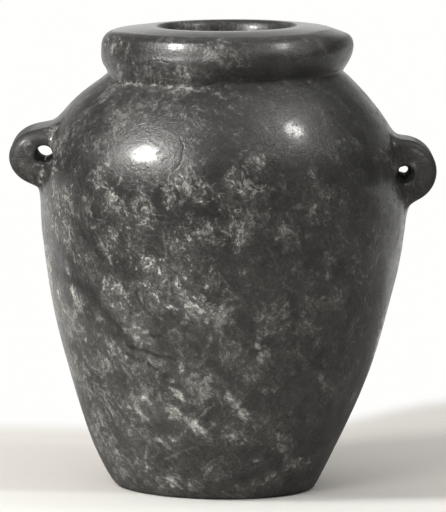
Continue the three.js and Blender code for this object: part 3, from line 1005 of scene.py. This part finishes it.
zones = {
    # each axis, where the zone begins and ends along it, in metres, and its values there
    # the next zone is partly painted light: it makes the left paler and the right darker, as the lamps light
    # it
    "leftLitRightShaded": [("X", -0.06, 0.05, 1, -1)],
    "lowLeft": [("Z", 0.03, 0.11, 1, 0), ("X", -0.06, 0.02, 1, 0)],
    "lively": [("Z", 0.065, 0.09), ("Z", 0.12, 0.14, 1, 0.3), ("X", -0.01, 0.035, 1, 0)],
    "calm": [("X", -0.03, 0.005)],
    # the next zone is painted light: the lower wall is painted paler, most on the left, standing in for light
    # from the lower left and the floor
    "paintedLowLeftLight": [("X", -0.04, 0.035, 1, 0.25), ("Z", 0.075, 0.12, 1, 0)],
    "front": [("Y", -0.02, -0.005, 1, 0)],
}
# the body alone gets the painted light on its lower left wall
bodyLooks = {"pits": 0.6, "scratches": 0.25, "rough": 0.4, "relief": 0.55, "polish": 0.5, "topPolish": 0.5,
             "paintedLowLeftLight": 0.8, "contrast": 1.25, "calm": 1, "veins": True}
collarLooks = {**bodyLooks, "polish": 0.31, "topPolish": 0.75, "paintedLowLeftLight": 0, "contrast": 1.4, "calm": 0.7}
lugLooks = {**bodyLooks, "pits": 0.4, "scratches": 0.3, "relief": 0.5, "topPolish": 0.3, "paintedLowLeftLight": 0,
            "contrast": 1, "veins": False}


def startTree(owner):
    # nodes are added to this owner's tree from here on
    owner.use_nodes = True
    owner.node_tree.nodes.clear()
    current["tree"] = owner.node_tree


def drawVeinsAndHighlights(place, piece, veins):
    # all lines whose first point lies on the piece
    mask = None
    widen, more = stoneLooks["veinEdge"]
    for path, halfWide, strength in veins:
        if onStone(*path[0])[2] != piece:
            continue
        for a, b in stretches(path):
            start, along = a * mm, (b - a) * mm
            inputs = {"Place": place, "Start": tuple(start), "Along": tuple(along),
                      "Share": tuple(along / (along @ along)),
                      "Width": (halfWide * widen + more) * mm / photoScale, "Strength": strength}
            one = useGroup("streak", inputs)["Mask"]
            mask = one if mask is None else maths("MAXIMUM", mask, one)
    return mask


def veinAndHighlightLines(place, piece, front):
    # masks of the pale lines and of the dark ones
    drifted = warped(place, *stoneLooks["veinWarps"])
    depth = vector("DOT_PRODUCT", drifted, tuple(facing))
    sheet = vector("SUBTRACT", drifted, vector("SCALE", tuple(facing), depth))
    gaps = spread(evenNoise(place, *stoneLooks["veinGaps"]), -0.12, 0.08)
    # the pale lines hold veins and two painted highlights beside the right lug
    pale = times(drawVeinsAndHighlights(sheet, piece, paleVeinsAndHighlights), gaps, front)
    return pale, times(drawVeinsAndHighlights(sheet, piece, darkVeins), front)


def stoneMaterial(piece, looks):
    s = stoneLooks
    material = bpy.data.materials.new(piece.name + "_finish")
    startTree(material)
    place = addNode("TexCoord").outputs["Object"]
    axes = axesOf(place)
    zone = {name: times(*(spread(axes[axis], *reach) for axis, *reach in parts))
            for name, parts in zones.items()}
    painted = addNode("Attribute", attribute_name="stoneMarksAndLight").outputs["Vector"]
    pale, dark, crusted = axesOf(painted)
    onLug = addNode("Attribute", attribute_name="onLug").outputs["Fac"]
    inBore = spread(dark, 1.5, 2.5)
    dark = maths("MINIMUM", dark, 1)

    # how pale the stone is
    # the left-to-right part is partly painted light on the left and painted shade on the right
    density = total((zone["leftLitRightShaded"], s["leftDensityAndLight"]), (zone["lowLeft"], s["lowLeftDensity"]),
                    (pale, s["markDensity"]), (dark, -s["markDensity"]), (onLug, s["lugDensity"]))
    contrast = blend(zone["lively"], s["plainContrast"], looks["contrast"])
    contrast = times(blend(onLug, contrast, s["lugContrast"]), blend(zone["calm"], 1, looks["calm"]))
    mottling = useGroup("mottling", {"Place": place, "Density": density, "Contrast": contrast})
    granules = mottling["Granules"]
    hair = useGroup("hairlines", {"Place": place})["Line"]
    ragged = total((pale, 1), (evenNoise(place, *s["ragged"]), 2.2))
    patch = times(spread(ragged, 0.3, 0.65), spread(pale, 0.05, 0.3))
    # painted light: the lower wall is painted paler, most on the left, where light from the lower left and
    # the floor falls
    paintedLowLeftLight = times(zone["paintedLowLeftLight"], looks["paintedLowLeftLight"])
    # inBore paints the bores' insides paler: painted light standing in for light thrown into them, over the
    # painted shade of their dark density
    tone = total((mottling["Tone"], 1), (hair, 0.35), (patch, 0.75), (dark, -0.75), (paintedLowLeftLight, 1), (inBore, 2))
    whole = 1  # 0 where a dark line cracks the surface
    if looks["veins"]:
        paleLine, darkLine = veinAndHighlightLines(place, piece, zone["front"])
        tone = blend(paleLine, tone, maths("ADD", paintedLowLeftLight, s["paleLine"]))
        tone = total((tone, 1), (darkLine, -0.9))
        whole = maths("SUBTRACT", 1, darkLine, clamp=True)
    colour = vector("SCALE", s["ground"], maths("POWER", math.e, tone))
    crust = total((crusted, 1), (evenNoise(place, *s["speckled"]), 3.4))
    crust = times(spread(crust, 0.5, 1.05), spread(crusted, 0.02, 0.25))
    colour = blend(crust, colour, s["crust"], colours=True)

    # how it shines
    rough = blend(onLug, looks["rough"], s["lugRough"])
    rough = total((rough, 1), (granules, s["granuleRough"]))
    rough = blend(inBore, blend(crust, rough, s["crustRough"]), s["boreRough"])
    areas = spread(noiseAt(place, *s["polishAreas"]), 0.35, 0.6, 0.45, 1)
    dull = spread(evenNoise(place, *s["dullSpots"]), 0.02, 0.13)
    polish = times(areas, blend(onLug, looks["polish"], s["lugPolish"]),
                   blend(granules, 1, s["granulePolish"]), blend(dull, 1, s["dullPolish"]), whole)
    upward = axesOf(addNode("NewGeometry").outputs["Normal"])["Z"]
    polish = blend(spread(upward, 0.9, 0.98), polish, looks["topPolish"])
    polish = blend(maths("MAXIMUM", crust, inBore), polish, 0)
    surface = useGroup("surface", {"Place": place, "Pits": looks["pits"], "Scratches": looks["scratches"]})
    height = total((surface["Height"], 1), (crust, 2), (granules, 0.25), (whole, 0.7))
    bump = addNode("Bump", {"Strength": looks["relief"], "Distance": s["reliefDepth"], "Height": height})
    shader = addNode("BsdfPrincipled", {"Base Color": colour, "Roughness": rough, "Normal": bump,
                                              "Coat Weight": polish, **s["shader"]})
    addNode("OutputMaterial", {"Surface": shader})
    return material


finishes = {
    "jar_body": (body, "body_stone", bodyLooks),
    "rim_collar": (collar, "collar_stone", collarLooks),
    "left_lug": (leftLug, "lug_stone", lugLooks),
    "right_lug": (rightLug, "lug_stone", lugLooks),
}
for node, (piece, slotName, looks) in finishes.items():
    piece.data.materials.append(stoneMaterial(piece, looks))
    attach(piece, "root")
    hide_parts(node)
print("materials ready")


# Floor
floorLooks = {
    "halfSize": 9000,  # mm
    "behind": (0.80, 0.775, 0.74, 1),
    "front": (0.93, 0.925, 0.89, 1),
    "frontEdge": (-0.034, -0.018, 1, 0),  # m, and the values there
    "grain": (300, 3, 0.5),
    "grainColour": (0.6, 0.6, 0.58, 1),
    "grainShare": 0.12,
    "glow": (1, 0.995, 0.98, 1),
    "whiteEdge": (0.115, 0.165),  # m behind the jar, between which the floor turns white
    "whiteShift": (0.02, 0.11, 0, 0.1),  # towards the right it does so up to 0.1 m farther back
    "whiteRadius": (0.45, 0.9),  # it is white all round, for the camera
    "mirrored": (0.1, 0.1, 0.1, 1),  # what the stone mirrors in place of the paper
    "mirroredShare": 0.75,
}


def makeFloor():
    f = floorLooks
    half = f["halfSize"]
    corners = [(-half, -half, 0), (half, -half, 0), (half, half, 0), (-half, half, 0)]
    floor = makeObject("pale_floor", corners, [(0, 1, 2, 3)])
    material = bpy.data.materials.new("pale_floor_paper")
    startTree(material)
    place = addNode("TexCoord").outputs["Object"]
    x, y, _ = axesOf(place)
    rays = addNode("LightPath").outputs
    camera, glossy = rays["Is Camera Ray"], rays["Is Glossy Ray"]
    colour = blend(spread(y, *f["frontEdge"]), f["behind"], f["front"], colours=True)
    grain = times(noiseAt(place, *f["grain"]), f["grainShare"])
    colour = blend(grain, colour, f["grainColour"], colours=True)
    paper = addNode("BsdfDiffuse", {"Color": colour})
    dim = addNode("BsdfDiffuse", {"Color": f["mirrored"]})
    paper = addNode("MixShader", {0: times(glossy, f["mirroredShare"]), 1: paper, 2: dim})
    line = maths("SUBTRACT", y, spread(x, *f["whiteShift"]))
    far = spread(vector("LENGTH", place), *f["whiteRadius"])
    white = maths("MAXIMUM", spread(line, *f["whiteEdge"]), times(far, camera))
    white = times(white, maths("MAXIMUM", camera, glossy))
    glow = addNode("Emission", {"Color": f["glow"]})
    addNode("OutputMaterial", {"Surface": addNode("MixShader", {0: white, 1: paper, 2: glow})})
    floor.data.materials.append(material)


# World and lamps
worldLooks = {
    # what the stone mirrors: from, to and the brightness there
    "behind": (0.55, 1, 0, 0.92),
    "behindLow": (0.15, 0.42, 1, 0.15),
    "above": (0.4, 0.95, 0.06, 0.5),
    # what lights it: the share from above, and the same from all round
    "lightAbove": 0.75,
    "lightRound": 0.11,
    "lightColour": (1, 0.99, 0.97, 1),
    "mirrorColour": (1, 0.995, 0.98, 1),
    "cameraColour": (1, 0.998, 0.985, 1),
}


def makeWorld():
    w = worldLooks
    world = bpy.data.worlds.new("studio")
    bpy.context.scene.world = world
    startTree(world)
    _, y, z = axesOf(addNode("TexCoord").outputs["Generated"])
    mirrored = times(spread(y, *w["behind"], curve="LINEAR"), spread(z, *w["behindLow"]))
    mirrored = maths("ADD", mirrored, spread(z, *w["above"]))
    light = times(maths("MAXIMUM", z, 0), w["lightAbove"])
    light = maths("ADD", light, w["lightRound"])
    light, mirrored, white = (
        addNode("Background", {"Color": w[colour], "Strength": strength})
        for colour, strength in (("lightColour", light), ("mirrorColour", mirrored), ("cameraColour", 1)))
    rays = addNode("LightPath").outputs
    seen = addNode("MixShader", {0: rays["Is Glossy Ray"], 1: light, 2: mirrored})
    seen = addNode("MixShader", {0: rays["Is Camera Ray"], 1: seen, 2: white})
    addNode("OutputWorld", {"Surface": seen})


lampColour = (1, 0.985, 0.955)
lampTarget = (0, 0, 0.12)  # m
lamps = {
    # direction from the jar, distance in m, size in m, power in W, whether it lights and whether it shines
    "key_lamp": ((-0.668, -0.387, 0.636), 1.1, 0.28, 6.5, True, False),
    "key_shine": ((-0.67, -0.46, 0.57), 1.1, 0.24, 27, False, True),
    "right_lamp": ((0.545, -0.096, 0.833), 1.1, 0.2, 1.3, True, False),
    "right_shine": ((0.556, -0.206, 0.805), 1.1, 0.18, 4.6, False, True),
    "front_fill": ((-0.40, -0.82, 0.42), 1.3, 0.5, 5, True, False),
}


def makeLamp(name):
    towards, away, size, power, lights, shines = lamps[name]
    data = bpy.data.lights.new(name, "AREA")
    data.shape = "DISK"
    data.size = size
    data.energy = power
    data.color = lampColour
    holder = bpy.data.objects.new(name, data)
    way = Vector(towards).normalized()
    holder.location = Vector(lampTarget) + way * away
    holder.rotation_euler = way.to_track_quat("Z", "Y").to_euler()
    holder.visible_glossy = shines
    holder.visible_diffuse = lights
    holder.visible_camera = False
    bpy.context.collection.objects.link(holder)


makeFloor()
makeWorld()
for lampName in lamps:
    makeLamp(lampName)
print("stage ready")
